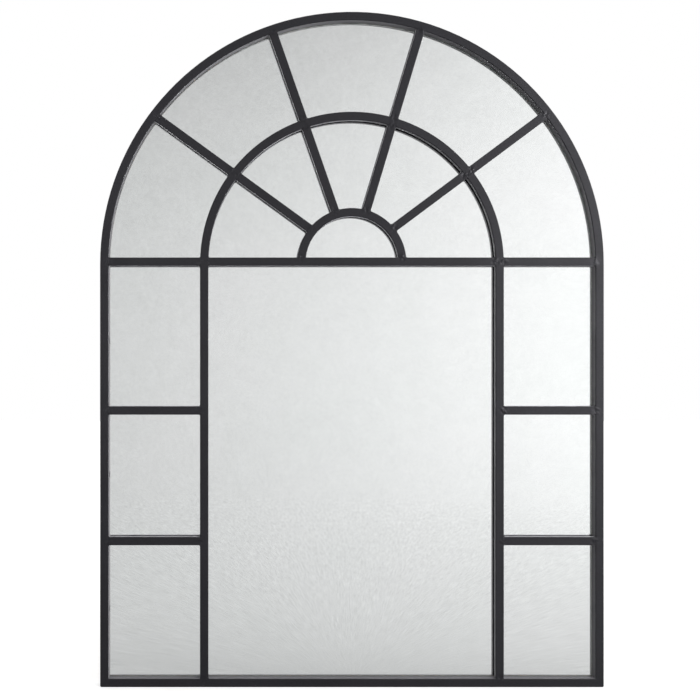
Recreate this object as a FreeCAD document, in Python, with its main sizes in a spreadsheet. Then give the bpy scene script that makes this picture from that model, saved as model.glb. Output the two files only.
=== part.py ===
import FreeCAD, Part
import math
import os
import Sketcher

# Arched window mirror: a steel frame with a half-round top, glazing bars in front of one arched
# sheet of mirror glass, and two swinging rings on the back to hang it by.
# X is the width, Z the height, and the front faces -Y. The origin is at the middle of the bottom
# edge, halfway between the front face and the backs of the wall bumpers.

doc = FreeCAD.newDocument("ArchedWindowMirror")

# ---------------------------------------------------------------- driving dimensions (mm, degrees)

dimensions = [
    ("frame_width", 895),  # outside width; the half-round top has half of it as its radius
    ("straight_height", 752.5),  # the straight sides, up to where the arch springs
    ("rim_face", 15),  # outer tube, seen from the front
    ("rim_depth", 25),
    ("rim_wall", 1.5),
    ("corner_round", 4),  # bottom corners of the frame, seen from the front
    ("bar_face", 15),  # glazing bars, seen from the front
    ("bar_depth", 10),
    ("bar_wall", 1),
    ("tube_corner", 1.5),  # outside rounding along every tube
    ("mullion_offset", 262.5),  # centrelines of the mullions and the inner arch, from the middle
    ("hub_radius", 89.5),  # centreline of the hub arch
    ("hub_rise", 2),  # centre of the hub arch above the springing line
    ("transom_rise", 3.5),  # centreline of the transom above the springing line
    ("upper_bar_height", 491.5),
    ("lower_bar_height", 259.5),
    ("fan_rise", 8),  # where the spokes' centrelines meet, above the springing line
    ("low_right_angle", 36.7),  # spokes, from the right-hand horizontal
    ("high_right_angle", 73.3),
    ("high_left_angle", 109.2),
    ("low_left_angle", 144),
    ("tape_width", 9),  # foam strip between each bar and the glass
    ("tape_thickness", 1),
    ("glass_thickness", 4),
    ("glass_gap", 1.5),  # from the glass and the board to the rim, all round
    ("board_thickness", 3),
    ("tab_thickness", 1),  # angles that hold the board
    ("tab_width", 10),
    ("tab_inset", 0.5),  # the tabs' legs stop this far inside the rim's back
    ("tab_foot", 12),
    ("tab_gap", 0.6),  # from the rim's inner wall, filled by the weld
    ("stile_tab_pitch", 240),
    ("rail_tab_pitch", 300),
    ("arch_tab_step", 36),
    ("hanger_drop", 37.5),  # ring pivots below the springing line
    ("strap_width", 8),
    ("strap_leaf", 1),  # the strap is folded, so it is two leaves thick
    ("strap_tail", 1),  # from the lower screw to where the strap's rounded end begins
    ("ring_wire", 2.4),
    ("ring_side_gap", 1),  # from the strap's edges to the ring's sides
    ("ring_straight", 6.5),  # from the pivot to where the ring's round end begins
    ("ring_end_play", 0.2),  # the ring's straight top runs this far past the strap's edges
    ("ring_clearance", 0.1),  # round the wire in the strap's loop
    ("ring_rest_gap", 0.3),  # between the hanging ring's end and the strap
    ("screw_shank", 3),
    ("screw_length", 8),
    ("screw_head", 6),
    ("screw_head_height", 1.7),
    ("screw_gap", 2.1),  # from the hanging ring's end to the upper screw's head
    ("screw_pitch", 11),
    ("recess_length", 3.2),  # cross recess in the screw heads
    ("recess_width", 0.8),
    ("recess_depth", 0.9),
    ("strap_hole_clearance", 0.2),
    ("pilot_clearance", 0.05),
    ("bumper_base", 11),
    ("bumper_top", 9),
    ("bumper_height", 5),
    ("bumper_inset", 57.5),  # lower bumpers, from the frame's sides
    ("arch_bumper_angle", 42),  # upper bumpers, above the horizontal
]

sheet = doc.addObject("Spreadsheet::Sheet", "Dims")
for row, (alias, value) in enumerate(dimensions, start=1):
    sheet.set(f"A{row}", alias)
    sheet.set(f"B{row}", str(value))
    sheet.setAlias(f"B{row}", alias)
doc.recompute()

# Places that follow from the sheet, as expressions.
frontFace = "(-(Dims.rim_depth + Dims.bumper_height) / 2)"
rimBack = f"({frontFace} + Dims.rim_depth)"
tapeFront = f"({frontFace} + Dims.bar_depth)"
boardFront = f"({tapeFront} + Dims.tape_thickness + Dims.glass_thickness)"
boardBack = f"({boardFront} + Dims.board_thickness)"
halfWidth = "(Dims.frame_width / 2)"
rimInside = f"({halfWidth} - Dims.rim_face)"
rimCentre = f"({halfWidth} - Dims.rim_face / 2)"
transomHeight = "(Dims.straight_height + Dims.transom_rise)"
hubHeight = "(Dims.straight_height + Dims.hub_rise)"
fanHeight = "(Dims.straight_height + Dims.fan_rise)"

# Cutting shapes are twice as deep as the rim, so they run past it in front and behind.
cutDepth = "(2 * Dims.rim_depth)"
cutFront = "(-Dims.rim_depth)"
cutBack = "Dims.rim_depth"

acrossX = "vector(1; 0; 0)"
acrossY = "vector(0; 1; 0)"
sides = {"left": "-", "right": ""}
nodes = {}


# ---------------------------------------------------------------------------------- small helpers

def place(thing, x="0", y="0", z="0", axis=acrossY, angle="0"):
    """Bind a placement: a point, and a turn about one axis."""
    expression = f"placement(vector({x}; {y}; {z}); rotation({axis}; {angle}))"
    thing.setExpression("Placement", expression)


def valueOf(expression):
    """The present value of an expression, for a sketch's first drawing."""
    return float(sheet.evalExpression(expression))


def addSolid(kind, name, **sizes):
    """A primitive whose sizes are bound to the sheet."""
    thing = doc.addObject(kind, name)
    for prop, expression in sizes.items():
        thing.setExpression(prop, expression)
    return thing


def addCut(name, base, tool):
    cut = doc.addObject("Part::Cut", name)
    cut.Base = base
    cut.Tool = tool
    return cut


def addCommon(name, shapes):
    common = doc.addObject("Part::MultiCommon", name)
    common.Shapes = shapes
    return common


def addFusion(name, shapes):
    fusion = doc.addObject("Part::MultiFuse", name)
    fusion.Shapes = shapes
    fusion.Refine = True
    return fusion


def addCompound(name, shapes):
    compound = doc.addObject("Part::Compound", name)
    compound.Links = shapes
    return compound


def keep(thing, node):
    """Mark an object as one of the mirror's pieces."""
    thing.Label = node
    nodes[node] = thing


def addSketch(body, name, role):
    """A sketch on one of its own body's origin planes."""
    plane = next(item for item in body.Origin.OriginFeatures if item.Role == role)
    sketch = body.newObject("Sketcher::SketchObject", name)
    sketch.AttachmentSupport = [(plane, "")]
    sketch.MapMode = "FlatFace"
    return sketch


def addLine(sketch, start, end):
    return sketch.addGeometry(Part.LineSegment(FreeCAD.Vector(*start, 0), FreeCAD.Vector(*end, 0)))


def addArc(sketch, centre, radius, startAngle, endAngle):
    circle = Part.Circle(FreeCAD.Vector(*centre, 0), FreeCAD.Vector(0, 0, 1), radius)
    return sketch.addGeometry(Part.ArcOfCircle(circle, math.radians(startAngle), math.radians(endAngle)))


def constrain(sketch, *terms):
    return sketch.addConstraint(Sketcher.Constraint(*terms))


def nameSize(sketch, label, terms, expression):
    """Add a dimension to a sketch and bind it to the sheet."""
    index = constrain(sketch, *terms, valueOf(expression))
    sketch.renameConstraint(index, label)
    sketch.setExpression(f"Constraints.{label}", expression)


def addBox(sketch, label, left, front, width, depth, radius=None):
    """A rectangle, with round corners if it has a radius; left and front are its low X and Y."""
    low, near = valueOf(left), valueOf(front)
    high, far = low + valueOf(width), near + valueOf(depth)
    bend = valueOf(radius) if radius else 0
    lines = [
        addLine(sketch, (low + bend, near), (high - bend, near)),
        addLine(sketch, (high, near + bend), (high, far - bend)),
        addLine(sketch, (high - bend, far), (low + bend, far)),
        addLine(sketch, (low, far - bend), (low, near + bend)),
    ]
    following = lines[1:] + lines[:1]
    if radius:
        centres = [(high - bend, near + bend), (high - bend, far - bend),
                   (low + bend, far - bend), (low + bend, near + bend)]
        arcs = [addArc(sketch, centre, bend, 90 * turn - 90, 90 * turn)
                for turn, centre in enumerate(centres)]
        for line, arc, nextLine in zip(lines, arcs, following):
            constrain(sketch, "Tangent", line, 2, arc, 1)
            constrain(sketch, "Tangent", arc, 2, nextLine, 1)
        for arc in arcs[1:]:
            constrain(sketch, "Equal", arcs[0], arc)
        nameSize(sketch, f"{label}Radius", ("Radius", arcs[0]), radius)
    else:
        for line, nextLine in zip(lines, following):
            constrain(sketch, "Coincident", line, 2, nextLine, 1)
    frontLine, rightLine, backLine, leftLine = lines
    for line in (frontLine, backLine):
        constrain(sketch, "Horizontal", line)
    for line in (rightLine, leftLine):
        constrain(sketch, "Vertical", line)
    nameSize(sketch, f"{label}Width", ("DistanceX", leftLine, 1, rightLine, 1), width)
    nameSize(sketch, f"{label}Depth", ("DistanceY", frontLine, 1, backLine, 1), depth)
    nameSize(sketch, f"{label}Left", ("DistanceX", -1, 1, leftLine, 1), left)
    nameSize(sketch, f"{label}Front", ("DistanceY", -1, 1, frontLine, 1), front)


# ----------------------------------------------------------------------------- tubes, bars and tape

# Each section: its width seen from the front, its depth, where its front lies, and its wall.
rimTube = ("Dims.rim_face", "Dims.rim_depth", frontFace, "Dims.rim_wall")
barTube = ("Dims.bar_face", "Dims.bar_depth", frontFace, "Dims.bar_wall")
tapeStrip = ("Dims.tape_width", "Dims.tape_thickness", tapeFront, None)


def addSection(body, name, section, centre):
    """The cross-section of a tube or a strip, its middle at the expression centre along X."""
    sketch = addSketch(body, f"{name}Section", "XY_Plane")
    face, depth, front, wall = section
    left = f"{centre} - {face} / 2"
    addBox(sketch, "outer", left, front, face, depth, "Dims.tube_corner" if wall else None)
    if wall:
        boreWidth, boreDepth = f"{face} - 2 * {wall}", f"{depth} - 2 * {wall}"
        addBox(sketch, "inner", f"{left} + {wall}", f"{front} + {wall}", boreWidth, boreDepth)
    return sketch


def addStraight(name, section, length):
    """A straight tube or strip that runs up its own Z axis."""
    body = doc.addObject("PartDesign::Body", name)
    sketch = addSection(body, name, section, "0")
    pad = body.newObject("PartDesign::Pad", f"{name}Pad")
    pad.Profile = sketch
    pad.setExpression("Length", length)
    return body


def addArch(name, section, radius, height):
    """A half-round tube or strip; radius is its centreline's, and height its centre's."""
    body = doc.addObject("PartDesign::Body", name)
    sketch = addSection(body, name, section, radius)
    turn = body.newObject("PartDesign::Revolution", f"{name}Turn")
    turn.Profile = sketch
    turn.ReferenceAxis = (sketch, ["V_Axis"])
    turn.Angle = 180
    turn.Reversed = True
    place(body, z=height)
    return body


def addLeaning(name, section, x, z, angle, length, space):
    """A straight piece from (x, z), at an angle from the horizontal, kept only inside a space."""
    body = addStraight(f"{name}Stock", section, length)
    place(body, x=x, z=z, angle=f"90 - {angle}")
    return addCommon(name, [body, space])


# ------------------------------------------------------------------------- shapes that trim the bars

def addArchedPlate(name, radius, bottom, thickness, back):
    """A plate with a half-round top; bottom is the height of its lower edge, and back its back."""
    body = doc.addObject("PartDesign::Body", name)
    sketch = addSketch(body, f"{name}Outline", "XZ_Plane")
    dropSize = f"Dims.straight_height - {bottom}"
    reach, drop = valueOf(radius), valueOf(dropSize)
    crown = addArc(sketch, (0, 0), reach, 0, 180)
    left = addLine(sketch, (-reach, 0), (-reach, -drop))
    base = addLine(sketch, (-reach, -drop), (reach, -drop))
    right = addLine(sketch, (reach, -drop), (reach, 0))
    constrain(sketch, "Coincident", crown, 3, -1, 1)
    constrain(sketch, "PointOnObject", crown, 1, -1)
    constrain(sketch, "PointOnObject", crown, 2, -1)
    constrain(sketch, "Coincident", crown, 2, left, 1)
    constrain(sketch, "Coincident", left, 2, base, 1)
    constrain(sketch, "Coincident", base, 2, right, 1)
    constrain(sketch, "Coincident", right, 2, crown, 1)
    constrain(sketch, "Vertical", left)
    constrain(sketch, "Vertical", right)
    constrain(sketch, "Horizontal", base)
    nameSize(sketch, "radius", ("Radius", crown), radius)
    nameSize(sketch, "drop", ("DistanceY", left, 2, left, 1), dropSize)
    pad = body.newObject("PartDesign::Pad", f"{name}Pad")
    pad.Profile = sketch
    pad.setExpression("Length", thickness)
    place(body, y=back, z="Dims.straight_height")
    return body


mullionOutside = "Dims.mullion_offset + Dims.bar_face / 2"
mullionInside = "Dims.mullion_offset - Dims.bar_face / 2"
insideRim = addArchedPlate("InsideRim", rimInside, "Dims.rim_face", cutDepth, cutBack)
outsideMullions = addArchedPlate("OutsideMullions", mullionOutside, "0", cutDepth, cutBack)
insideMullions = addArchedPlate("InsideMullions", mullionInside, "0", cutDepth, cutBack)
outerSpace = addCut("OuterSpace", insideRim, outsideMullions)

hubOutside = "Dims.hub_radius + Dims.bar_face / 2"
hubCore = addSolid("Part::Cylinder", "HubCore", Radius=hubOutside, Height=cutDepth)
place(hubCore, y=cutBack, z=hubHeight, axis=acrossX, angle="90")
fanSpace = addCut("FanSpace", insideMullions, hubCore)

overTransom = addSolid("Part::Box", "OverTransom", Length="Dims.frame_width", Width=cutDepth,
                       Height=halfWidth)
place(overTransom, x=f"-{halfWidth}", y=cutFront, z=f"{transomHeight} + Dims.bar_face / 2")


# -------------------------------------------------------------------------------------- outer frame

# A square set on its corner at each bottom corner: what it covers is stile, and the rest is rail.
mitres = {}
for side, sign in sides.items():
    mitres[side] = addSolid("Part::Box", f"{side.title()}Mitre", Length="Dims.straight_height",
                            Width=cutDepth, Height="Dims.straight_height")
    place(mitres[side], x=f"{sign}{halfWidth}", y=cutFront, angle="-45")


levelWithin = 1e-6  # mm, and anything less counts as none


def isLowCorner(edge):
    """True for the two edges that run front to back along the foot of a plate."""
    heights = [vertex.Z for vertex in edge.Vertexes]
    depths = [vertex.Y for vertex in edge.Vertexes]
    return max(heights) < levelWithin and max(depths) - min(depths) > levelWithin


envelope = addArchedPlate("Envelope", halfWidth, "0", cutDepth, cutBack)
doc.recompute()
plateEdges = enumerate(envelope.Shape.Edges, start=1)
corners = [f"Edge{number}" for number, edge in plateEdges if isLowCorner(edge)]
sharpPlate = envelope.Tip
rounding = envelope.newObject("PartDesign::Fillet", "EnvelopeCorners")
rounding.Base = (sharpPlate, corners)
rounding.setExpression("Radius", "Dims.corner_round")

keep(addArch("OuterArch", rimTube, rimCentre, "Dims.straight_height"), "outer_arch")

railStock = addStraight("RailStock", rimTube, "Dims.frame_width")
place(railStock, x=f"-{halfWidth}", z="Dims.rim_face / 2", angle="90")
squareRail = addCommon("SquareRail", [railStock, envelope])
keep(addCut("BottomRail", squareRail, addCompound("BothMitres", list(mitres.values()))), "bottom_rail")

# The upper screw's head clears the hanging ring, and the lower screw follows it.
ringSpan = "(Dims.strap_width / 2 + Dims.ring_side_gap + Dims.ring_wire / 2)"
ringReach = f"(Dims.ring_straight + {ringSpan})"
upperScrewDrop = f"({ringReach} + Dims.ring_wire / 2 + Dims.screw_gap + Dims.screw_head / 2)"
screwDrops = {"Upper": upperScrewDrop, "Lower": f"({upperScrewDrop} + Dims.screw_pitch)"}
hangerHeight = "(Dims.straight_height - Dims.hanger_drop)"

for side, sign in sides.items():
    name = f"{side.title()}Stile"
    stock = addStraight(f"{name}Stock", rimTube, "Dims.straight_height")
    place(stock, x=f"{sign}{rimCentre}")
    mitred = addCommon(f"{name}Mitred", [stock, mitres[side], envelope])
    pilots = []
    for which, drop in screwDrops.items():
        pilot = addSolid("Part::Cylinder", f"{name}{which}Pilot", Height="2 * Dims.rim_wall",
                         Radius="Dims.screw_shank / 2 + Dims.pilot_clearance")
        place(pilot, x=f"{sign}{rimCentre}", y=f"{rimBack} + Dims.rim_wall / 2",
              z=f"{hangerHeight} - {drop}", axis=acrossX, angle="90")
        pilots.append(pilot)
    keep(addCut(name, mitred, addCompound(f"{name}Pilots", pilots)), f"{side}_stile")


# ------------------------------------------------------------------------------------- glazing bars

tapes = []


def addBarAndTape(node, x, z, angle, length, space):
    """One glazing bar and the strip of tape behind it."""
    name = node.title().replace("_", "")
    keep(addLeaning(name, barTube, x, z, angle, length, space), node)
    tapes.append(addLeaning(f"{name}Tape", tapeStrip, x, z, angle, length, space))


keep(addArch("InnerArch", barTube, "Dims.mullion_offset", "Dims.straight_height"), "inner_arch")
tapes.append(addArch("InnerArchTape", tapeStrip, "Dims.mullion_offset", "Dims.straight_height"))

mullionLength = "Dims.straight_height - Dims.rim_face"
for side, sign in sides.items():
    name = f"{side.title()}Mullion"
    mullion = addStraight(name, barTube, mullionLength)
    strip = addStraight(f"{name}Tape", tapeStrip, mullionLength)
    for thing in (mullion, strip):
        place(thing, x=f"{sign}Dims.mullion_offset", z="Dims.rim_face")
    keep(mullion, f"{side}_mullion")
    tapes.append(strip)

# The hub arch stands on the transom, so its feet are cut off level with the transom's top.
hubStock = addArch("HubStock", barTube, "Dims.hub_radius", hubHeight)
hubTapeStock = addArch("HubTapeStock", tapeStrip, "Dims.hub_radius", hubHeight)
keep(addCommon("HubArch", [hubStock, overTransom]), "hub_arch")
tapes.append(addCommon("HubTape", [hubTapeStock, overTransom]))

# Level bars run between the stiles and the mullion line, and the transom also crosses inside it.
leftEnd = f"-{halfWidth}"
barHeights = {"upper": "Dims.upper_bar_height", "lower": "Dims.lower_bar_height"}
addBarAndTape("transom_left", leftEnd, transomHeight, "0", halfWidth, outerSpace)
addBarAndTape("transom_centre", leftEnd, transomHeight, "0", "Dims.frame_width", insideMullions)
addBarAndTape("transom_right", "0", transomHeight, "0", halfWidth, outerSpace)
for level, height in barHeights.items():
    addBarAndTape(f"{level}_left_bar", leftEnd, height, "0", halfWidth, outerSpace)
    addBarAndTape(f"{level}_right_bar", "0", height, "0", halfWidth, outerSpace)

for spoke in ("low_right", "high_right", "high_left", "low_left"):
    angle = f"Dims.{spoke}_angle"
    addBarAndTape(f"inner_spoke_{spoke}", "0", fanHeight, angle, "Dims.mullion_offset", fanSpace)
    addBarAndTape(f"outer_spoke_{spoke}", "0", fanHeight, angle, halfWidth, outerSpace)
keep(addCompound("GlazingTape", tapes), "glazing_tape")


# -------------------------------------------------------------------------------- glass and backing

sheetRadius = f"{rimInside} - Dims.glass_gap"
sheetBottom = "(Dims.rim_face + Dims.glass_gap)"
glass = addArchedPlate("MirrorGlass", sheetRadius, sheetBottom, "Dims.glass_thickness", boardFront)
board = addArchedPlate("BackingBoard", sheetRadius, sheetBottom, "Dims.board_thickness", boardBack)
keep(glass, "mirror_glass")
keep(board, "backing_board")


def addTab(name, x, z, outward):
    """An angle inside the rim: its leg on the rim's inner wall, its foot on the board's back.
    outward is the direction from the foot to the leg, as an angle from the right-hand horizontal."""
    leg = addSolid("Part::Box", f"{name}Leg", Length="Dims.tab_thickness", Height="Dims.tab_width",
                   Width=f"{rimBack} - {boardBack} - Dims.tab_inset")
    foot = addSolid("Part::Box", f"{name}Foot", Length="Dims.tab_foot", Height="Dims.tab_width",
                    Width="Dims.tab_thickness")
    for part in (leg, foot):
        place(part, x="Dims.tab_gap", z="-Dims.tab_width / 2")
    tab = addFusion(name, [leg, foot])
    place(tab, x=x, y=boardBack, z=z, angle=f"180 - {outward}")
    return tab


tabs = []
for step in (-1, 0, 1):
    stileHeight = f"Dims.straight_height / 2 + {step} * Dims.stile_tab_pitch"
    tabs.append(addTab(f"LeftTab{step + 2}", f"-{rimInside}", stileHeight, "180"))
    tabs.append(addTab(f"RightTab{step + 2}", rimInside, stileHeight, "0"))
    tabs.append(addTab(f"RailTab{step + 2}", f"{step} * Dims.rail_tab_pitch", "Dims.rim_face", "270"))
for step in (-2, -1, 0, 1, 2):
    turn = f"(90 + {step} * Dims.arch_tab_step)"
    tabs.append(addTab(f"ArchTab{step + 3}", f"{rimInside} * cos({turn} * 1 deg)",
                       f"Dims.straight_height + {rimInside} * sin({turn} * 1 deg)", turn))
keep(addCompound("RetainingTabs", tabs), "retaining_tabs")


# ------------------------------------------------------------------------------ hangers and bumpers

strapThickness = "(2 * Dims.strap_leaf)"
eyeRadius = "(Dims.ring_wire / 2 + Dims.ring_clearance)"
loopRadius = f"({eyeRadius} + Dims.strap_leaf)"
ringBend = "(Dims.ring_side_gap + Dims.ring_wire / 2 - Dims.ring_end_play)"
ringTilt = f"asin((Dims.strap_leaf + Dims.ring_rest_gap - Dims.ring_clearance) / {ringReach})"


def addWireRing(name):
    """A D of round wire: a straight top across X through the origin, and a round lower end."""
    body = doc.addObject("PartDesign::Body", name)
    half, bend, drop = valueOf(ringSpan), valueOf(ringBend), valueOf("Dims.ring_straight")
    path = addSketch(body, f"{name}Path", "XZ_Plane")
    top = addLine(path, (bend - half, 0), (half - bend, 0))
    rightBend = addArc(path, (half - bend, -bend), bend, 0, 90)
    right = addLine(path, (half, -bend), (half, -drop))
    low = addArc(path, (0, -drop), half, 180, 360)
    left = addLine(path, (-half, -drop), (-half, -bend))
    leftBend = addArc(path, (bend - half, -bend), bend, 90, 180)
    constrain(path, "Tangent", top, 2, rightBend, 2)
    constrain(path, "Tangent", rightBend, 1, right, 1)
    constrain(path, "Tangent", right, 2, low, 2)
    constrain(path, "Tangent", low, 1, left, 1)
    constrain(path, "Tangent", left, 2, leftBend, 2)
    constrain(path, "Tangent", leftBend, 1, top, 1)
    constrain(path, "Horizontal", top)
    constrain(path, "Vertical", left)
    constrain(path, "Vertical", right)
    constrain(path, "PointOnObject", top, 1, -1)
    constrain(path, "PointOnObject", low, 3, -2)
    constrain(path, "Equal", rightBend, leftBend)
    nameSize(path, "bend", ("Radius", rightBend), ringBend)
    nameSize(path, "end", ("Radius", low), ringSpan)
    nameSize(path, "straight", ("DistanceY", low, 3, -1, 1), "Dims.ring_straight")
    wire = addSketch(body, f"{name}Wire", "YZ_Plane")
    origin, upright = FreeCAD.Vector(0, 0, 0), FreeCAD.Vector(0, 0, 1)
    circle = wire.addGeometry(Part.Circle(origin, upright, valueOf("Dims.ring_wire / 2")))
    constrain(wire, "Coincident", circle, 3, -1, 1)
    nameSize(wire, "radius", ("Radius", circle), "Dims.ring_wire / 2")
    pipe = body.newObject("PartDesign::AdditivePipe", f"{name}Pipe")
    pipe.Profile = wire
    pipe.Spine = (path, [f"Edge{number}" for number in range(1, path.GeometryCount + 1)])
    return body


def addStrap(name):
    """A folded strap: its loop round the ring's straight top, its leaves down the stile's back."""
    loop = addSolid("Part::Cylinder", f"{name}Loop", Radius=loopRadius, Height="Dims.strap_width")
    place(loop, x="-Dims.strap_width / 2", y=loopRadius, angle="90")
    length = f"({screwDrops['Lower']} + Dims.strap_tail)"
    leaves = addSolid("Part::Box", f"{name}Leaves", Length="Dims.strap_width", Width=strapThickness,
                      Height=length)
    place(leaves, x="-Dims.strap_width / 2", z=f"-{length}")
    end = addSolid("Part::Cylinder", f"{name}End", Radius="Dims.strap_width / 2", Height=strapThickness)
    place(end, z=f"-{length}", axis=acrossX, angle="-90")
    eye = addSolid("Part::Cylinder", f"{name}Eye", Radius=eyeRadius, Height="2 * Dims.strap_width")
    place(eye, x="-Dims.strap_width", y=loopRadius, angle="90")
    tools = [eye]
    for which, drop in screwDrops.items():
        hole = addSolid("Part::Cylinder", f"{name}{which}Hole", Height=f"3 * {strapThickness}",
                        Radius="Dims.screw_shank / 2 + Dims.strap_hole_clearance")
        place(hole, y=f"-{strapThickness}", z=f"-{drop}", axis=acrossX, angle="-90")
        tools.append(hole)
    return addCut(name, addFusion(f"{name}Blank", [loop, leaves, end]), addCompound(f"{name}Holes", tools))


def addScrew(name):
    """A pan-head screw with a cross recess. It seats at the origin, with its head towards +Y."""
    shank = addSolid("Part::Cylinder", f"{name}Shank", Radius="Dims.screw_shank / 2",
                     Height="Dims.screw_length")
    place(shank, axis=acrossX, angle="90")
    head = addSolid("Part::Cylinder", f"{name}Head", Radius="Dims.screw_head / 2",
                    Height="Dims.screw_head_height")
    place(head, axis=acrossX, angle="-90")
    slots = []
    for wide, tall in (("recess_length", "recess_width"), ("recess_width", "recess_length")):
        slot = addSolid("Part::Box", f"{name}Slot{len(slots) + 1}", Length=f"Dims.{wide}",
                        Width="Dims.screw_head_height", Height=f"Dims.{tall}")
        place(slot, x=f"-Dims.{wide} / 2", y="Dims.screw_head_height - Dims.recess_depth",
              z=f"-Dims.{tall} / 2")
        slots.append(slot)
    return addCut(name, addFusion(f"{name}Blank", [shank, head]), addFusion(f"{name}Recess", slots))


screws = []
for side, sign in sides.items():
    name = side.title()
    strap = addStrap(f"{name}Strap")
    place(strap, x=f"{sign}{rimCentre}", y=rimBack, z=hangerHeight)
    keep(strap, f"{side}_hanger_strap")
    ring = addWireRing(f"{name}Ring")
    place(ring, x=f"{sign}{rimCentre}", y=f"{rimBack} + {loopRadius}", z=hangerHeight,
          axis=acrossX, angle=ringTilt)
    keep(ring, f"{side}_hanger_ring")
    for which, drop in screwDrops.items():
        screw = addScrew(f"{name}{which}Screw")
        place(screw, x=f"{sign}{rimCentre}", y=f"{rimBack} + {strapThickness}", z=f"{hangerHeight} - {drop}")
        screws.append(screw)
keep(addCompound("HangerScrews", screws), "hanger_screws")

bumpers = []
for side, sign in sides.items():
    places = {
        "Low": (f"{sign}({halfWidth} - Dims.bumper_inset)", "Dims.rim_face / 2"),
        "High": (f"{sign}{rimCentre} * cos(Dims.arch_bumper_angle * 1 deg)",
                 f"Dims.straight_height + {rimCentre} * sin(Dims.arch_bumper_angle * 1 deg)"),
    }
    for which, (x, z) in places.items():
        bumper = addSolid("Part::Cone", f"{side.title()}{which}Bumper", Radius1="Dims.bumper_base / 2",
                          Radius2="Dims.bumper_top / 2", Height="Dims.bumper_height")
        place(bumper, x=x, y=rimBack, z=z, axis=acrossX, angle="-90")
        bumpers.append(bumper)
keep(addCompound("WallBumpers", bumpers), "wall_bumpers")


# ------------------------------------------------------------------------------ check and write out

doc.recompute()
for thing in doc.Objects:
    if "Invalid" in thing.State or "Error" in thing.State:
        raise RuntimeError(f"{thing.Name} failed to rebuild")
for node, thing in nodes.items():
    if thing.Shape.isNull() or not thing.Shape.isValid() or not thing.Shape.Solids:
        raise RuntimeError(f"{node} has no valid solid")

os.makedirs("parts", exist_ok=True)
for node, thing in nodes.items():
    thing.Shape.exportStep(os.path.join("parts", f"{node}.step"))
    print(f"{node}: {len(thing.Shape.Solids)} solid(s), {thing.Shape.Volume / 1000:.2f} cm3")
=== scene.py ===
import math

import bpy
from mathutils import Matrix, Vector


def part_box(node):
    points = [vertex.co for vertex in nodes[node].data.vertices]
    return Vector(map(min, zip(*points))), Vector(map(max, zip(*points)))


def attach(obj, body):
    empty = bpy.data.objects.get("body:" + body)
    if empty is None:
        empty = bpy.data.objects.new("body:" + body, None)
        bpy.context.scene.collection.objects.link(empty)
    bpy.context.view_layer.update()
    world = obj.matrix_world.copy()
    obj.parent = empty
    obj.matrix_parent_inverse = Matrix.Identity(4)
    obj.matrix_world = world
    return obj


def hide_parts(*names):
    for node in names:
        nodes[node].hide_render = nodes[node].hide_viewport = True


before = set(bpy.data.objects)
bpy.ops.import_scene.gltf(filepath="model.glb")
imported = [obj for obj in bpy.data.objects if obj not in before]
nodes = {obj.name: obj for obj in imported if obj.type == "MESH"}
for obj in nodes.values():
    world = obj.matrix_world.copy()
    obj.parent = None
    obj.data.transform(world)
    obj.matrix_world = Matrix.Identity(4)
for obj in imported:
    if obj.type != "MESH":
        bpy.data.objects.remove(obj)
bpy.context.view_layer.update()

# Arched window mirror: a black steel frame, glazing bars in front of one arched mirror, and two
# swinging rings on the back. Metres, with the front towards -Y and the foot at Z 0.

scene = bpy.context.scene


# Sizes that the pieces below share.
build = {
    "springLine": 0.7525,  # height where the half-round top begins
    "rimInside": 0.4325,  # from the middle to the inner wall of the outer tube
    "railTop": 0.015,
    "barFace": 0.015,
    "barFront": -0.015,
    "mullion": 0.2625,  # centreline of the mullions and the inner arch
    "hub": 0.0895,
    "hubCentre": 0.7545,
    "fanCentre": 0.7605,  # where the spokes' lines meet
    "spokeMiddles": (0.18, 0.34),  # from there to points on the inner and on the outer spokes
    "transom": 0.756,
    "sideBars": (0.4915, 0.2595),
    "spokes": (36.7, 73.3, 109.2, 144.0),  # degrees from the right-hand horizontal
}


# Helpers for materials and node trees.

def newMaterial(name):
    material = bpy.data.materials.new(name)
    material.use_nodes = True
    tree = material.node_tree
    where = tree.nodes.new("ShaderNodeTexCoord").outputs["Object"]
    return material, tree, tree.nodes["Principled BSDF"], where


def addNoise(tree, where, scale, detail=2.0, coarse=0.5, stretch=None):
    if stretch:
        mapping = tree.nodes.new("ShaderNodeMapping")
        mapping.inputs["Scale"].default_value = stretch
        tree.links.new(where, mapping.inputs["Vector"])
        where = mapping.outputs["Vector"]
    noise = tree.nodes.new("ShaderNodeTexNoise")
    noise.inputs["Scale"].default_value = scale
    noise.inputs["Detail"].default_value = detail
    noise.inputs["Roughness"].default_value = coarse
    tree.links.new(where, noise.inputs["Vector"])
    return noise.outputs["Fac"]


def addCells(tree, where, scale):
    cells = tree.nodes.new("ShaderNodeTexVoronoi")
    cells.inputs["Scale"].default_value = scale
    tree.links.new(where, cells.inputs["Vector"])
    return cells.outputs["Distance"]


def addRange(tree, value, low, high, start=0.3, end=0.7):
    span = tree.nodes.new("ShaderNodeMapRange")
    span.inputs["From Min"].default_value = start
    span.inputs["From Max"].default_value = end
    span.inputs["To Min"].default_value = low
    span.inputs["To Max"].default_value = high
    tree.links.new(value, span.inputs["Value"])
    return span.outputs["Result"]


def addTint(tree, value, dark, light, start=0.3, end=0.7):
    ramp = tree.nodes.new("ShaderNodeValToRGB")
    first, last = ramp.color_ramp.elements
    first.position, last.position = start, end
    first.color, last.color = (*dark, 1), (*light, 1)
    tree.links.new(value, ramp.inputs["Fac"])
    return ramp.outputs["Color"]


def addMath(tree, kind, first, second=0.0):
    result = tree.nodes.new("ShaderNodeMath")
    result.operation = kind
    for socket, value in zip(result.inputs, (first, second)):
        if isinstance(value, (int, float)):
            socket.default_value = value
        else:
            tree.links.new(value, socket)
    return result.outputs["Value"]


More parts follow.
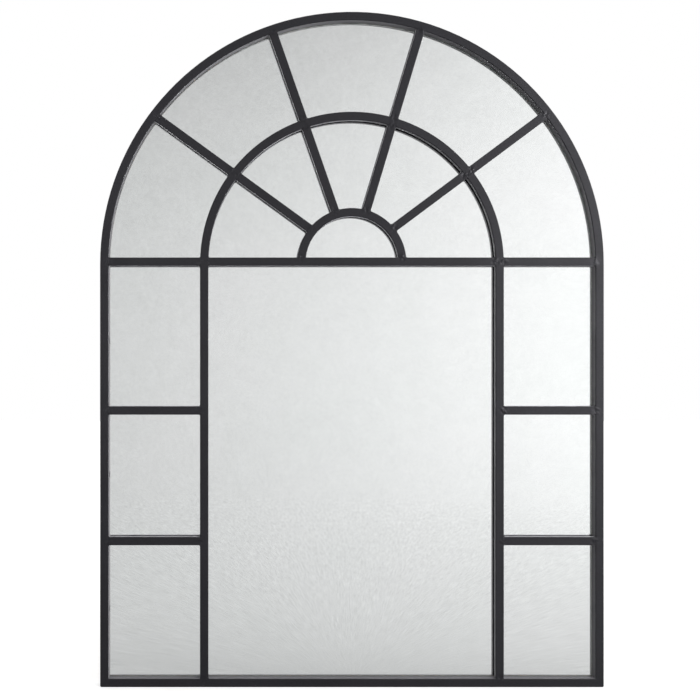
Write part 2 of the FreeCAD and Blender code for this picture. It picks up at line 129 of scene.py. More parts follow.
def addBlend(tree, first, second, share):
    # The first value has this share, and the second has the rest.
    return addMath(tree, "ADD", addMath(tree, "MULTIPLY", first, share),
                   addMath(tree, "MULTIPLY", second, 1 - share))


def addRelief(tree, shader, height, depth, under=None):
    relief = tree.nodes.new("ShaderNodeBump")
    relief.inputs["Distance"].default_value = depth
    relief.inputs["Strength"].default_value = 1.0
    tree.links.new(height, relief.inputs["Height"])
    if under:
        tree.links.new(under, relief.inputs["Normal"])
    tree.links.new(relief.outputs["Normal"], shader.inputs["Normal"])
    return relief.outputs["Normal"]


def wear(piece, material):
    piece.data.materials.clear()
    piece.data.materials.append(material)


# The black coat on all the steel tubes, tabs and welds.
coat = {
    "dark": (0.0020, 0.0019, 0.0028),
    "light": (0.0085, 0.0081, 0.0105),
    "toneSpan": (0.36, 0.64),  # of the noise, from dark to light
    "gloss": (0.42, 0.52),  # roughness, in the smoothest and the driest patches
    "ior": 1.35,
    "sheen": 1.0,
    "sheenRoughness": 0.35,
    "sheenTint": (0.95, 0.94, 1.0),
    "patchScale": 16,
    "patchShare": 0.35,  # of the tone; the mottle has the rest
    "mottleScale": 330,
    "mottleDepth": 0.00004,
    "grainScale": 900,
    "grainDepth": 0.000015,
    "weldReach": 0.0125,  # round each joint, where the weld was ground off by hand
    "weldScale": 140,
    "weldDepth": 0.0022,
    "weldGloss": 0.17,
}


def addWeldZone(tree, where):
    # 1 on a welded joint, falling to 0 a few millimetres away from it.
    nearest = 1.0
    for joint in listJoints():
        foot = meetingPoint(*joint)
        gap = tree.nodes.new("ShaderNodeVectorMath")
        gap.operation = "DISTANCE"
        gap.inputs[1].default_value = (foot.x, build["barFront"], foot.y)
        tree.links.new(where, gap.inputs[0])
        nearest = addMath(tree, "MINIMUM", gap.outputs["Value"], nearest)
    zone = addRange(tree, nearest, 1.0, 0.0, 0.0, coat["weldReach"])
    zone.node.interpolation_type = "SMOOTHSTEP"
    return zone


def makeCoat():
    material, tree, shader, where = newMaterial("satinBlackCoat")
    shader.inputs["IOR"].default_value = coat["ior"]
    shader.inputs["Specular Tint"].default_value = (*coat["sheenTint"], 1)
    shader.inputs["Sheen Weight"].default_value = coat["sheen"]
    shader.inputs["Sheen Roughness"].default_value = coat["sheenRoughness"]
    shader.inputs["Sheen Tint"].default_value = (*coat["sheenTint"], 1)
    patches = addNoise(tree, where, coat["patchScale"], 4, 0.6)
    mottle = addNoise(tree, where, coat["mottleScale"], 3, 0.6)
    grain = addNoise(tree, where, coat["grainScale"], 2, 0.6)
    tone = addBlend(tree, patches, mottle, coat["patchShare"])
    tree.links.new(addTint(tree, tone, coat["dark"], coat["light"], *coat["toneSpan"]),
                   shader.inputs["Base Color"])
    zone = addWeldZone(tree, where)
    smooth, dry = coat["gloss"]
    gloss = addRange(tree, tone, dry, smooth, *coat["toneSpan"])
    polish = addMath(tree, "MULTIPLY", zone, coat["weldGloss"])
    tree.links.new(addMath(tree, "SUBTRACT", gloss, polish), shader.inputs["Roughness"])
    lumps = addMath(tree, "SUBTRACT", addNoise(tree, where, coat["weldScale"], 1, 0.4), 0.5)
    lumps = addMath(tree, "MULTIPLY", lumps, zone)
    under = addRelief(tree, shader, lumps, coat["weldDepth"])
    under = addRelief(tree, shader, mottle, coat["mottleDepth"], under=under)
    addRelief(tree, shader, grain, coat["grainDepth"], under=under)
    return material


# Mirror glass, its ground edge, its silvering and the paint behind that.
glass = {
    "tint": (0.985, 0.995, 0.990),
    "tintFade": 0.5,  # towards clear, in the palest clouds
    "cloudScale": 3,
    "ior": 1.5,
    "waveScale": 5,
    "waveDepth": 0.00002,
    "silver": (0.925, 0.925, 0.925),
    "silverAged": (0.912, 0.914, 0.912),
    "ageScale": 6,
    "groundEdge": ((0.045, 0.075, 0.065), (0.080, 0.120, 0.105)),
    "groundRoughness": 0.7,
    "groundScale": 700,
    "groundDepth": 0.00004,
    "backPaint": ((0.060, 0.075, 0.072), (0.085, 0.100, 0.095)),
    "paintRoughness": 0.6,
    "paintScale": 25,
    "silverFront": -0.00020,
    "silverBack": -0.00005,
    "paneBack": -0.00025,
    "arris": 0.0004,
    "arcSteps": 180,
}


def makeGlass():
    material, tree, shader, where = newMaterial("clearFloatGlass")
    shader.inputs["IOR"].default_value = glass["ior"]
    shader.inputs["Transmission Weight"].default_value = 1.0
    shader.inputs["Roughness"].default_value = 0.0
    tone = addNoise(tree, where, glass["cloudScale"], 2)
    fade = glass["tintFade"]
    pale = tuple(fade + (1 - fade) * channel for channel in glass["tint"])
    tree.links.new(addTint(tree, tone, glass["tint"], pale), shader.inputs["Base Color"])
    waves = addNoise(tree, where, glass["waveScale"], 1)
    addRelief(tree, shader, waves, glass["waveDepth"])
    return material


def makeSilver():
    material, tree, shader, where = newMaterial("silvering")
    shader.inputs["Metallic"].default_value = 1.0
    shader.inputs["Roughness"].default_value = 0.0
    tone = addNoise(tree, where, glass["ageScale"], 3)
    tree.links.new(addTint(tree, tone, glass["silverAged"], glass["silver"]),
                   shader.inputs["Base Color"])
    return material


def makeGroundEdge():
    # The pane's edge is ground dull, so it stays dark in the rebate instead of glowing.
    material, tree, shader, where = newMaterial("groundGlassEdge")
    shader.inputs["Roughness"].default_value = glass["groundRoughness"]
    tone = addNoise(tree, where, glass["groundScale"], 3, 0.6)
    tree.links.new(addTint(tree, tone, *glass["groundEdge"]), shader.inputs["Base Color"])
    addRelief(tree, shader, tone, glass["groundDepth"])
    return material


def makeBackPaint():
    material, tree, shader, where = newMaterial("mirrorBackPaint")
    shader.inputs["Roughness"].default_value = glass["paintRoughness"]
    tone = addNoise(tree, where, glass["paintScale"], 4)
    tree.links.new(addTint(tree, tone, *glass["backPaint"]), shader.inputs["Base Color"])
    return material


def archedSheet(name, inset, front, back):
    # A flat sheet with a level foot, straight sides and a half-round top, its edges square.
    low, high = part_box("mirror_glass")
    half, foot = high.x - inset, low.z + inset
    outline = [(-half, foot), (half, foot)]
    for step in range(glass["arcSteps"] + 1):
        turn = math.pi * step / glass["arcSteps"]
        outline.append((half * math.cos(turn), build["springLine"] + half * math.sin(turn)))
    count = len(outline)
    points = [(x, y, z) for y in (front, back) for x, z in outline]
    faces = [tuple(range(count)), tuple(reversed(range(count, 2 * count)))]
    faces += [(i, count + i, count + (i + 1) % count, (i + 1) % count) for i in range(count)]
    mesh = bpy.data.meshes.new(name)
    mesh.from_pydata(points, [], faces)
    mesh.update()
    piece = bpy.data.objects.new(name, mesh)
    scene.collection.objects.link(piece)
    return piece


edges = {
    "sharpFrom": 35,  # degrees between two faces' directions
    "segments": 2,
    "joinWithin": 0.000001,
}


def roundEdges(piece, width, join=False):
    if join:  # a CAD node's triangles are loose
        joined = piece.modifiers.new("joinTriangles", "WELD")
        joined.merge_threshold = edges["joinWithin"]
    bevel = piece.modifiers.new("roundEdges", "BEVEL")
    bevel.width = width
    bevel.segments = edges["segments"]
    bevel.limit_method = "ANGLE"
    bevel.angle_limit = math.radians(edges["sharpFrom"])


def makePane():
    pane = archedSheet("mirror_pane", 0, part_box("mirror_glass")[0].y, glass["paneBack"])
    roundEdges(pane, glass["arris"])
    wear(pane, makeGlass())
    pane.data.materials.append(makeGroundEdge())
    for face in pane.data.polygons:
        face.material_index = 0 if abs(face.normal.y) > 0.5 else 1
    silver = archedSheet("silver_layer", glass["arris"],
                         glass["silverFront"], glass["silverBack"])
    wear(silver, makeSilver())
    silver.data.materials.append(makeBackPaint())
    for face in silver.data.polygons:
        face.material_index = 1 if face.normal.y > 0.5 else 0
    for piece in (pane, silver):
        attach(piece, "mirror")
    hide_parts("mirror_glass")
    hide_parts("mirror_glass")


# The foam tape between the bars and the glass.
tape = {
    "dark": (0.008, 0.008, 0.008),
    "light": (0.018, 0.018, 0.018),
    "roughness": 0.95,
    "cellScale": 2600,
    "cellSpan": (0.1, 0.7),
    "cellDepth": 0.0001,
}


def makeFoamTape():
    material, tree, shader, where = newMaterial("blackFoamTape")
    shader.inputs["Roughness"].default_value = tape["roughness"]
    cells = addCells(tree, where, tape["cellScale"])
    tree.links.new(addTint(tree, cells, tape["dark"], tape["light"], *tape["cellSpan"]),
                   shader.inputs["Base Color"])
    addRelief(tree, shader, cells, tape["cellDepth"])
    return material


# The rubber of the wall bumpers.
rubber = {
    "dark": (0.018, 0.018, 0.018),
    "light": (0.034, 0.034, 0.035),
    "roughness": (0.62, 0.8),
    "grainScale": 600,
    "grainDepth": 0.00006,
}


def makeRubber():
    material, tree, shader, where = newMaterial("bumperRubber")
    grain = addNoise(tree, where, rubber["grainScale"], 3, 0.6)
    tree.links.new(addTint(tree, grain, rubber["dark"], rubber["light"]),
                   shader.inputs["Base Color"])
    tree.links.new(addRange(tree, grain, *rubber["roughness"]), shader.inputs["Roughness"])
    addRelief(tree, shader, grain, rubber["grainDepth"])
    return material


# The pressed hardboard behind the glass.
board = {
    "dark": (0.150, 0.092, 0.052),
    "light": (0.330, 0.222, 0.140),
    "toneSpan": (0.32, 0.68),
    "roughness": (0.62, 0.82),
    "cloudScale": 5,
    "cloudShare": 0.3,  # of the tone; the fibres have the rest
    "fibreScale": 90,
    "fibreStretch": (1, 1, 0.35),
    "fibreDepth": 0.0001,
    "fleck": (0.075, 0.045, 0.026),
    "fleckScale": 700,
    "fleckSpan": (0.62, 0.72),
    "screenPitch": 0.0016,  # the wire screen that hardboard is pressed on
    "screenWander": 0.6,
    "screenDepth": 0.00008,
}


def makeHardboard():
    material, tree, shader, where = newMaterial("pressedHardboard")
    clouds = addNoise(tree, where, board["cloudScale"], 4, 0.6)
    fibres = addNoise(tree, where, board["fibreScale"], 6, 0.7, board["fibreStretch"])
    tone = addBlend(tree, clouds, fibres, board["cloudShare"])
    base = addTint(tree, tone, board["dark"], board["light"], *board["toneSpan"])
    flecks = addNoise(tree, where, board["fleckScale"], 3, 0.6)
    flecks = addRange(tree, flecks, 0, 1, *board["fleckSpan"])
    blend = tree.nodes.new("ShaderNodeMix")
    blend.data_type = "RGBA"
    blend.inputs["B"].default_value = (*board["fleck"], 1)
    tree.links.new(flecks, blend.inputs["Factor"])
    tree.links.new(base, blend.inputs["A"])
    tree.links.new(blend.outputs["Result"], shader.inputs["Base Color"])
    tree.links.new(addRange(tree, fibres, *board["roughness"]), shader.inputs["Roughness"])
    wires = []
    for axis in ("X", "Z"):  # at scale 1 a wave texture's bands are pi / 10 apart
        wave = tree.nodes.new("ShaderNodeTexWave")
        wave.bands_direction = axis
        wave.inputs["Scale"].default_value = math.pi / 10 / board["screenPitch"]
        wave.inputs["Distortion"].default_value = board["screenWander"]
        tree.links.new(where, wave.inputs["Vector"])
        wires.append(wave.outputs["Fac"])
    under = addRelief(tree, shader, addMath(tree, "MULTIPLY", *wires), board["screenDepth"])
    addRelief(tree, shader, fibres, board["fibreDepth"], under=under)
    return material


# The zinc plate on the hangers, rings and screws.
zinc = {
    "dark": (0.53, 0.53, 0.52),
    "light": (0.64, 0.64, 0.63),
    "toneSpan": (0.25, 0.6),
    "roughness": (0.26, 0.40),
    "cloudScale": 220,
    "crystalScale": 2200,
    "depth": 0.00003,
}


def makeZinc():
    material, tree, shader, where = newMaterial("zincPlate")
    shader.inputs["Metallic"].default_value = 1.0
    clouds = addNoise(tree, where, zinc["cloudScale"], 4, 0.6)
    tone = addBlend(tree, clouds, addCells(tree, where, zinc["crystalScale"]), 0.5)
    tree.links.new(addTint(tree, tone, zinc["dark"], zinc["light"], *zinc["toneSpan"]),
                   shader.inputs["Base Color"])
    tree.links.new(addRange(tree, tone, *zinc["roughness"], *zinc["toneSpan"]),
                   shader.inputs["Roughness"])
    addRelief(tree, shader, tone, zinc["depth"])
    return material


# Welds: a bead in each inside corner, and a fill ground off flush on each face joint.
weld = {
    "beadFront": 0.0024,  # the beads begin this far behind the face
    "beadLength": 0.0070,
    "beadRadius": 0.0011,
    "beadSteps": 21,
    "beadSides": 12,
    "endTaper": 0.4,  # the lower, the blunter the ends
    "endLeast": 0.2,
    "ripples": 4,
    "rippleDepth": 0.14,
    "sizeSpread": 0.18,
    "seed": 7,
    "cornerTuck": 0.0002,  # how far a bead's middle sits out of its corner
    "fillWidth": 0.0019,
    "fillDepth": 0.0017,
    "fillShort": 0.0012,  # the fill stops short of the bar's rounded edges
    "fillOnBar": 0.0002,  # the fill laps over the bar's end, and the rest lies on the tube
    "fillCuts": {"Vertices X": 9, "Vertices Y": 3, "Vertices Z": 3},
    "belowFace": 0.00006,
}


def meetingPoint(start, way, wall):
    # Where a line meets a wall first: an upright, a level line or a ring.
    if wall[0] == "upright":
        return start + way * ((wall[1] - start.x) / way.x)
    if wall[0] == "level":
        return start + way * ((wall[1] - start.y) / way.y)
    centre, radius = wall[1:]
    offset = start - centre
    along = offset.dot(way)
    halfChord = math.sqrt(along * along - offset.length_squared + radius * radius)
    if offset.length > radius:
        return start + way * (-along - halfChord)
    return start + way * (-along + halfChord)


def listJoints():
    # Each joint is a point on a bar, the way it runs to the tube that it meets, and that tube.
    spring = Vector((0, build["springLine"]))
    halfBar = build["barFace"] / 2
    rim = ("ring", spring, build["rimInside"])
    archOutside = ("ring", spring, build["mullion"] + halfBar)
    archInside = ("ring", spring, build["mullion"] - halfBar)
    hubOutside = ("ring", Vector((0, build["hubCentre"])), build["hub"] + halfBar)
    joints = []
    for side in (-1, 1):
        outward, inward = Vector((side, 0)), Vector((-side, 0))
        between = side * (build["rimInside"] + build["mullion"] + halfBar) / 2
        transom = Vector((between, build["transom"]))
        joints.append((transom, outward, rim))
        joints.append((transom, inward, ("upright", side * (build["mullion"] + halfBar))))
        joints.append((Vector((0, build["transom"])), outward, archInside))
        for height in build["sideBars"]:
            middle = Vector((between, height))
            joints.append((middle, outward, ("upright", side * build["rimInside"])))
            joints.append((middle, inward, ("upright", side * (build["mullion"] + halfBar))))
        down = Vector((0, -1))
        mullion = Vector((side * build["mullion"], build["springLine"]))
        joints.append((mullion, down, ("level", build["railTop"])))
        hubFoot = Vector((side * build["hub"], build["transom"] + build["barFace"]))
        joints.append((hubFoot, down, ("level", build["transom"] + halfBar)))
    fan = Vector((0, build["fanCentre"]))
    for angle in build["spokes"]:
        way = Vector((math.cos(math.radians(angle)), math.sin(math.radians(angle))))
        inner, outer = (fan + way * reach for reach in build["spokeMiddles"])
        joints.append((inner, way, archInside))
        joints.append((outer, way, rim))
        joints.append((inner, -way, hubOutside))
        joints.append((outer, -way, archOutside))
    return joints


def pointCloud(name, places):
    mesh = bpy.data.meshes.new(name)
    mesh.from_pydata([place[:3] for place in places], [], [])
    turns = mesh.attributes.new("turn", "FLOAT", "POINT")
    for item, place in zip(turns.data, places):
        item.value = place[3]
    cloud = bpy.data.objects.new(name, mesh)
    scene.collection.objects.link(cloud)
    return cloud


def newTree(name, sizes):
    tree = bpy.data.node_groups.new(name, "GeometryNodeTree")
    tree.interface.new_socket("Points", in_out="INPUT", socket_type="NodeSocketGeometry")
    for label, value in sizes.items():
        kind = "NodeSocketInt" if isinstance(value, int) else "NodeSocketFloat"
        tree.interface.new_socket(label, in_out="INPUT", socket_type=kind)
    tree.interface.new_socket("Mesh", in_out="OUTPUT", socket_type="NodeSocketGeometry")
    return tree, tree.nodes.new("NodeGroupInput").outputs, tree.nodes.new("NodeGroupOutput")


def addVector(tree, **parts):
    vector = tree.nodes.new("ShaderNodeCombineXYZ")
    for axis, value in parts.items():
        tree.links.new(value, vector.inputs[axis])
    return vector.outputs["Vector"]


def spreadOnPoints(tree, given, shape, material):
    # The shape on every point, turned about Y and varied in size, as one plain mesh.
    turn = tree.nodes.new("GeometryNodeInputNamedAttribute")
    turn.inputs["Name"].default_value = "turn"
    spread = tree.nodes.new("FunctionNodeRandomValue")
    spread.data_type = "FLOAT"
    tree.links.new(addMath(tree, "SUBTRACT", 1.0, given["Size Spread"]), spread.inputs[2])
    tree.links.new(addMath(tree, "ADD", 1.0, given["Size Spread"]), spread.inputs[3])
    tree.links.new(given["Seed"], spread.inputs["Seed"])
    place = tree.nodes.new("GeometryNodeInstanceOnPoints")
    tree.links.new(given["Points"], place.inputs["Points"])
    tree.links.new(shape, place.inputs["Instance"])
    tree.links.new(addVector(tree, Y=turn.outputs["Attribute"]), place.inputs["Rotation"])
    size = addVector(tree, X=spread.outputs[1], Z=spread.outputs[1])
    full = tree.nodes.new("ShaderNodeVectorMath")
    full.operation = "ADD"
    full.inputs[1].default_value = (0, 1, 0)
    tree.links.new(size, full.inputs[0])
    tree.links.new(full.outputs["Vector"], place.inputs["Scale"])
    real = tree.nodes.new("GeometryNodeRealizeInstances")
    tree.links.new(place.outputs["Instances"], real.inputs["Geometry"])
    smooth = tree.nodes.new("GeometryNodeSetShadeSmooth")
    tree.links.new(real.outputs["Geometry"], smooth.inputs["Geometry"])
    finish = tree.nodes.new("GeometryNodeSetMaterial")
    finish.inputs["Material"].default_value = material
    tree.links.new(smooth.outputs["Geometry"], finish.inputs["Geometry"])
    return finish.outputs["Geometry"]


def freeze(cloud, tree, sizes, name):
    # The tree's result as a plain mesh object of its own.
    modifier = cloud.modifiers.new("shape", "NODES")
    modifier.node_group = tree
    for item in tree.interface.items_tree:
        if item.item_type == "SOCKET" and item.in_out == "INPUT" and item.name in sizes:
            modifier[item.identifier] = sizes[item.name]
    bpy.context.view_layer.update()
    graph = bpy.context.evaluated_depsgraph_get()
    mesh = bpy.data.meshes.new_from_object(cloud.evaluated_get(graph))
    mesh.name = name
    bpy.data.objects.remove(cloud)
    piece = bpy.data.objects.new(name, mesh)
    scene.collection.objects.link(piece)
    return piece


def listBeads(joints):
    # A bead stands in each of a joint's two inside corners.
    halfBar = build["barFace"] / 2
    middle = build["barFront"] + weld["beadFront"] + weld["beadLength"] / 2
    places = []
    for start, way, wall in joints:
        across = Vector((-way.y, way.x))
        for side in (-1, 1):
            corner = meetingPoint(start + across * side * halfBar, way, wall)
            corner += (across * side - way) * weld["cornerTuck"]
            places.append((corner.x, middle, corner.y, math.atan2(way.x, way.y)))
    return places


def addBead(tree, given):
    # A rippled rod along Y, full in the middle and running out to small round ends.
    line = tree.nodes.new("GeometryNodeCurvePrimitiveLine")
    half = addMath(tree, "MULTIPLY", given["Length"], 0.5)
    tree.links.new(addVector(tree, Y=addMath(tree, "MULTIPLY", half, -1.0)), line.inputs["Start"])
    tree.links.new(addVector(tree, Y=half), line.inputs["End"])
    fine = tree.nodes.new("GeometryNodeResampleCurve")
    fine.inputs["Count"].default_value = weld["beadSteps"]
    tree.links.new(line.outputs["Curve"], fine.inputs["Curve"])
    along = tree.nodes.new("GeometryNodeSplineParameter").outputs["Factor"]
    turns = addMath(tree, "MULTIPLY", along, given["Ripples"])
    wave = addMath(tree, "SINE", addMath(tree, "MULTIPLY", turns, math.tau))
    wave = addMath(tree, "MULTIPLY", wave, given["Ripple Depth"])
    arch = addMath(tree, "MULTIPLY", addMath(tree, "SUBTRACT", 1.0, along), along)
    arch = addMath(tree, "MULTIPLY", arch, 4.0)  # 1 in the middle, and 0 at both ends
    taper = addMath(tree, "POWER", arch, weld["endTaper"])
    taper = addMath(tree, "MAXIMUM", taper, weld["endLeast"])
    swell = tree.nodes.new("GeometryNodeSetCurveRadius")
    tree.links.new(fine.outputs["Curve"], swell.inputs["Curve"])
    tree.links.new(addMath(tree, "MULTIPLY", addMath(tree, "ADD", wave, 1.0), taper),
                   swell.inputs["Radius"])
    ring = tree.nodes.new("GeometryNodeCurvePrimitiveCircle")
    ring.inputs["Resolution"].default_value = weld["beadSides"]
    tree.links.new(given["Radius"], ring.inputs["Radius"])
    tube = tree.nodes.new("GeometryNodeCurveToMesh")
    tube.inputs["Fill Caps"].default_value = True
    tree.links.new(swell.outputs["Curve"], tube.inputs["Curve"])
    tree.links.new(ring.outputs["Curve"], tube.inputs["Profile Curve"])
    return tube.outputs["Mesh"]


def makeBeads(joints, material):
    sizes = {"Length": weld["beadLength"], "Radius": weld["beadRadius"],
             "Ripples": float(weld["ripples"]), "Ripple Depth": weld["rippleDepth"],
             "Size Spread": weld["sizeSpread"], "Seed": weld["seed"]}
    tree, given, output = newTree("weldBead", sizes)
    beads = spreadOnPoints(tree, given, addBead(tree, given), material)
    tree.links.new(beads, output.inputs["Mesh"])
    return freeze(pointCloud("beadPlaces", listBeads(joints)), tree, sizes, "weld_beads")


def makeFills(joints, material):
    middle = build["barFront"] + weld["belowFace"] + weld["fillDepth"] / 2
    ahead = weld["fillWidth"] / 2 - weld["fillOnBar"]
    places = []
    for start, way, wall in joints:
        foot = meetingPoint(start, way, wall) + way * ahead
        places.append((foot.x, middle, foot.y, math.atan2(way.x, way.y)))
    sizes = {"Length": build["barFace"] - 2 * weld["fillShort"], "Width": weld["fillWidth"],
             "Depth": weld["fillDepth"], "Size Spread": 0.0, "Seed": weld["seed"]}
    tree, given, output = newTree("weldFill", sizes)
    block = tree.nodes.new("GeometryNodeMeshCube")
    for label, count in weld["fillCuts"].items():
        block.inputs[label].default_value = count
    tree.links.new(addVector(tree, X=given["Length"], Y=given["Depth"], Z=given["Width"]),
                   block.inputs["Size"])
    fills = spreadOnPoints(tree, given, block.outputs["Mesh"], material)
    tree.links.new(fills, output.inputs["Mesh"])
    return freeze(pointCloud("fillPlaces", places), tree, sizes, "weld_fills")


# The finishes on the CAD nodes.
blackCoat = makeCoat()
finishes = {
    "black_frame": blackCoat,
    "tab_steel": blackCoat,
    "foam_tape": makeFoamTape(),
    "board": makeHardboard(),
    "zinc_steel": makeZinc(),
    "bumper_rubber": makeRubber(),
}
roundings = {  # widths of the rounded edges on the CAD nodes that have sharp ones
    "retaining_tabs": 0.00015,
    "wall_bumpers": 0.0006,
    "backing_board": 0.0002,
}
print("finishes on the CAD nodes")
for name, node in nodes.items():
    slotName = node.material_slots[0].material.name
    if slotName in finishes:
        node.material_slots[0].material = finishes[slotName]
for name, width in roundings.items():
    roundEdges(nodes[name], width, join=True)

print("mirror pane")
makePane()

print("welds")
allJoints = listJoints()
for piece in (makeBeads(allJoints, blackCoat), makeFills(allJoints, blackCoat)):
    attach(piece, "mirror")


# The stage: a pale floor, a plaster wall that glows with painted light and that the mirror faces,
# lamps and the camera.
stage = {
    "wallRadius": 3.4,
    "wallTop": 4.2,
    "wallFoot": 0.002,
    "wallTurn": 105,  # degrees to each side of straight ahead
    "wallSteps": 84,
    "wallTone": (1.0, 1.003, 1.008),
    "coveRadius": 0.9,
    "coveSteps": 12,
    "floorHalf": 9,
    "floorTone": ((0.80, 0.80, 0.795), (0.84, 0.84, 0.835)),
    "floorGrain": 60,
    "floorCameraGlow": (0.46, 1.0),  # painted glow seen by camera rays, close to the mirror, and far from it
    "floorSpan": (0.7, 2.4),  # where the one ends and the other begins
    "ambient": 0.62,  # of the white world, on matt surfaces
}


def addRayKind(tree, *names):
    # 1 for a ray of any of these kinds, and 0 for the others.
    path = tree.nodes.new("ShaderNodeLightPath")
    total = path.outputs[names[0]]
    for label in names[1:]:
        total = addMath(tree, "MAXIMUM", total, path.outputs[label])
    return total


# Painted light: emission strengths on the wall and on the floor seen in the mirror. They stand in
# for how these are lit: brighter to the right, dimmer high up, with painted shade close to the
# mirror's foot.
glow = {
    "level": 0.81,  # where nothing below adds to it or takes from it
    "least": 0.58,
    "most": 1.08,
    "rightwards": 0.17,  # gained with each metre to the right
    "outwards": 0.035,  # gained with the square of the distance from sideMiddle
    "sideMiddle": 0.4,
    "bestHeight": 0.6,
    "fallOff": 0.07,  # lost with the square of the height from there
    "paintedFootShade": 0.25,  # painted shade, lost close to the mirror's foot
    "footReach": 0.25,
    "fineScale": 70,
    "fineSpread": 0.09,
    "onWall": 0.55,  # share of the fine grain on the wall, and on the floor
    "onFloor": 1.3,
    "wideScale": 14,
    "wideSpread": 0.02,
    "inwards": 0.2,  # the grain is longer towards the mirror, where the floor is seen low
    "around": 3.0,
    "onMatt": 0.6,  # share of the glow that lights matt surfaces
}


def addPaintedLightLevel(tree, across, away, height):
    # Painted light: brighter to the right and falling off towards the ceiling, with painted shade
    # at the mirror's foot.
    level = addMath(tree, "MULTIPLY", across, glow["rightwards"])
    level = addMath(tree, "ADD", level, glow["level"])
    aside = addMath(tree, "SUBTRACT", across, glow["sideMiddle"])
    gain = addMath(tree, "MULTIPLY", addMath(tree, "MULTIPLY", aside, aside), glow["outwards"])
    level = addMath(tree, "ADD", level, gain)
    rise = addMath(tree, "SUBTRACT", height, glow["bestHeight"])
    loss = addMath(tree, "MULTIPLY", addMath(tree, "MULTIPLY", rise, rise), glow["fallOff"])
    level = addMath(tree, "SUBTRACT", level, loss)
    reach = addMath(tree, "DIVIDE", away, glow["footReach"])
    paintedShadeNearFoot = addMath(tree, "DIVIDE", glow["paintedFootShade"], addMath(tree, "ADD", reach, 1.0))
    level = addMath(tree, "SUBTRACT", level, paintedShadeNearFoot)
    return addMath(tree, "MINIMUM", addMath(tree, "MAXIMUM", level, glow["least"]), glow["most"])


def addGrainPlace(tree, across, away, height):
    # Angle, distance and height, seen from the mirror.
    flat = tree.nodes.new("ShaderNodeVectorMath")
    flat.operation = "LENGTH"
    tree.links.new(addVector(tree, X=across, Y=away), flat.inputs[0])
    turn = addMath(tree, "MULTIPLY", addMath(tree, "ARCTAN2", across, away), glow["around"])
    inwards = addMath(tree, "MULTIPLY", flat.outputs["Value"], glow["inwards"])
    return addVector(tree, X=turn, Y=inwards, Z=height)


def addGlow(tree, fineShare):
    # A glow that stands in for softly lit plaster: painted light with a fine and a wide grain.
    where = tree.nodes.new("ShaderNodeTexCoord").outputs["Object"]
    split = tree.nodes.new("ShaderNodeSeparateXYZ")
    tree.links.new(where, split.inputs["Vector"])
    away = addMath(tree, "ABSOLUTE", split.outputs["Y"])
    place = (split.outputs["X"], away, split.outputs["Z"])
    level = addPaintedLightLevel(tree, *place)
    grainPlace = addGrainPlace(tree, *place)
    for kind, detail, share in (("fine", 3, fineShare), ("wide", 2, 1.0)):
        spread = glow[kind + "Spread"] * share
        noise = addNoise(tree, grainPlace, glow[kind + "Scale"], detail, 0.6)
        level = addMath(tree, "ADD", level, addRange(tree, noise, -spread, spread, 0.2, 0.8))
    onMatt = addRange(tree, addRayKind(tree, "Is Diffuse Ray"), 1.0, glow["onMatt"], 0.0, 1.0)
    level = addMath(tree, "MULTIPLY", level, onMatt)
    light = tree.nodes.new("ShaderNodeEmission")
    light.inputs["Color"].default_value = (*stage["wallTone"], 1)
    tree.links.new(level, light.inputs["Strength"])
    return light.outputs["Emission"]


def newStageMaterial(name):
    material = bpy.data.materials.new(name)
    material.use_nodes = True
    material.node_tree.nodes.clear()
    return material, material.node_tree


def showSurface(tree, shader):
    output = tree.nodes.new("ShaderNodeOutputMaterial")
    tree.links.new(shader, output.inputs["Surface"])


def makeWallGlow():
    material, tree = newStageMaterial("glowingPlasterWall")
    showSurface(tree, addGlow(tree, glow["onWall"]))
    return material


def makeWall():
    # Floor edge, cove and wall as one profile, carried round in front of the mirror. It glows
    # with painted light and is hidden from the camera.
    radius, cove, rings = stage["wallRadius"], stage["coveRadius"], stage["wallSteps"]
    profile = []
    for step in range(stage["coveSteps"] + 1):
        turn = math.radians(90 * step / stage["coveSteps"])
        height = stage["wallFoot"] + cove - cove * math.cos(turn)
        profile.append((radius - cove + cove * math.sin(turn), height))
    profile.append((radius, stage["wallTop"]))
    points, faces = [], []
    for ring in range(rings + 1):
        turn = math.radians(-stage["wallTurn"] + 2 * stage["wallTurn"] * ring / rings)
        points += [(r * math.sin(turn), -r * math.cos(turn), z) for r, z in profile]
    size = len(profile)
    for ring in range(rings):
        for step in range(size - 1):
            first = ring * size + step
            faces.append((first, first + size, first + size + 1, first + 1))
    mesh = bpy.data.meshes.new("plaster_wall")
    mesh.from_pydata(points, [], faces)
    for face in mesh.polygons:
        face.use_smooth = True
    wall = bpy.data.objects.new("plaster_wall", mesh)
    scene.collection.objects.link(wall)
    wear(wall, makeWallGlow())
    wall.visible_camera = False


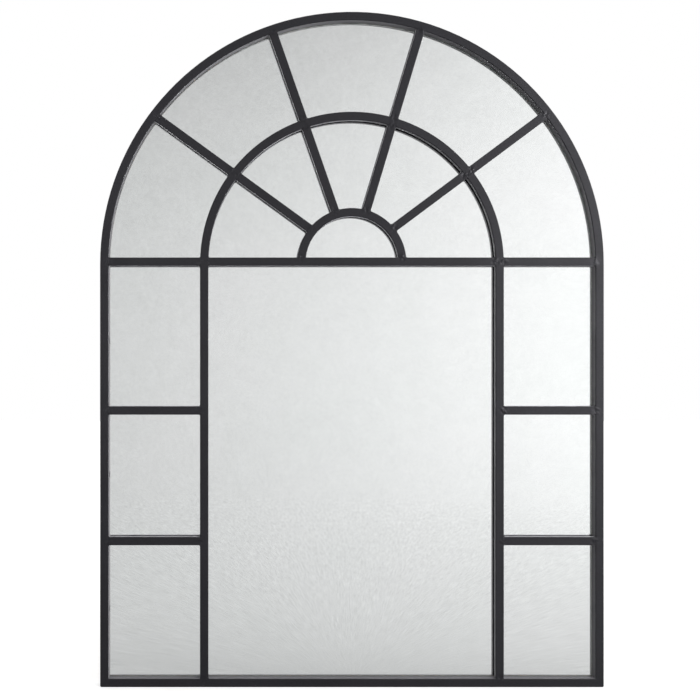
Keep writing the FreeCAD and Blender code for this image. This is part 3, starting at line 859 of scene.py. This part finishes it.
def makeFloor():
    # Looked at directly it is pale and matt with a painted glow on top, weaker close to the
    # mirror. In the mirror it glows with the wall's painted light.
    material, tree = newStageMaterial("paleFloor")
    where = tree.nodes.new("ShaderNodeTexCoord").outputs["Object"]
    tone = addTint(tree, addNoise(tree, where, stage["floorGrain"], 3, 0.6), *stage["floorTone"])
    matt = tree.nodes.new("ShaderNodeBsdfDiffuse")
    tree.links.new(tone, matt.inputs["Color"])
    lift = tree.nodes.new("ShaderNodeEmission")
    away = tree.nodes.new("ShaderNodeVectorMath")
    away.operation = "LENGTH"
    tree.links.new(where, away.inputs[0])
    extra = addRange(tree, away.outputs["Value"], *stage["floorCameraGlow"], *stage["floorSpan"])
    # A painted glow that only camera rays see, weaker close to the mirror so that the mirror's
    # shadow stays.
    lifted = addMath(tree, "MULTIPLY", addRayKind(tree, "Is Camera Ray"), extra)
    tree.links.new(lifted, lift.inputs["Strength"])
    seen = tree.nodes.new("ShaderNodeAddShader")
    tree.links.new(matt.outputs["BSDF"], seen.inputs[0])
    tree.links.new(lift.outputs["Emission"], seen.inputs[1])
    mirrored = tree.nodes.new("ShaderNodeMixShader")
    tree.links.new(addRayKind(tree, "Is Glossy Ray", "Is Transmission Ray"),
                   mirrored.inputs["Fac"])
    tree.links.new(seen.outputs["Shader"], mirrored.inputs[1])
    tree.links.new(addGlow(tree, glow["onFloor"]), mirrored.inputs[2])
    showSurface(tree, mirrored.outputs["Shader"])
    half = stage["floorHalf"]
    mesh = bpy.data.meshes.new("floor")
    corners = [(-half, -half, 0), (half, -half, 0), (half, half, 0), (-half, half, 0)]
    mesh.from_pydata(corners, [], [(0, 1, 2, 3)])
    floor = bpy.data.objects.new("floor", mesh)
    scene.collection.objects.link(floor)
    wear(floor, material)


def makeWorld():
    world = bpy.data.worlds.new("whiteRoom")
    world.use_nodes = True
    scene.world = world
    tree = world.node_tree
    seen = addRayKind(tree, "Is Camera Ray", "Is Glossy Ray", "Is Transmission Ray")
    strength = addRange(tree, seen, stage["ambient"], 1.0, 0.0, 1.0)
    tree.links.new(strength, tree.nodes["Background"].inputs["Strength"])
    tree.nodes["Background"].inputs["Color"].default_value = (1, 1, 1, 1)


lamps = {
    "keyLamp": {"at": (-1.09, -2.68, 1.0), "aim": (0, 0, 0.7), "size": (0.65, 1.9), "power": 12},
    "sideLamp": {"at": (1.97, -2.40, 1.1), "aim": (0, 0, 0.7), "size": (0.9, 1.9), "power": 66},
    "topLamp": {"at": (0, -0.6, 3.2), "aim": (0, 0, 0.3), "size": (2.2, 2.2), "power": 14},
    "rearLamp": {"at": (-0.9, 2.6, 2.3), "aim": (0, 0, 0.6), "size": (1.6, 1.6), "power": 16},
}


def makeLamps():
    for name, facts in lamps.items():
        data = bpy.data.lights.new(name, "AREA")
        data.shape = "RECTANGLE"
        data.size, data.size_y = facts["size"]
        data.energy = facts["power"]
        lamp = bpy.data.objects.new(name, data)
        lamp.location = facts["at"]
        aim = Vector(facts["aim"]) - Vector(facts["at"])
        lamp.rotation_euler = aim.to_track_quat("-Z", "Y").to_euler()
        scene.collection.objects.link(lamp)


view = {
    "width": 1.2429,  # of the picture, at the frame's front face
    "middle": (-0.0036, 0.5990),  # the picture's centre there
    "distance": 1.7,
    "shift": (0.20, 0.03),
}


def makeCamera():
    # It looks straight at the mirror, so that the frame isn't foreshortened.
    width, distance = view["width"], view["distance"]
    middleX, middleZ = view["middle"]
    shiftX, shiftZ = view["shift"]
    data = bpy.data.cameras.new("camera")
    data.sensor_width = 36  # millimetres
    data.lens = data.sensor_width * distance / width
    data.shift_x, data.shift_y = shiftX, shiftZ
    camera = bpy.data.objects.new("camera", data)
    camera.location = (middleX - shiftX * width, build["barFront"] - distance,
                       middleZ - shiftZ * width)
    camera.rotation_euler = (math.radians(90), 0, 0)
    scene.collection.objects.link(camera)
    scene.camera = camera


print("stage")
makeWall()
makeFloor()
makeWorld()
makeLamps()
makeCamera()
scene.view_settings.view_transform = "Standard"

print("done")
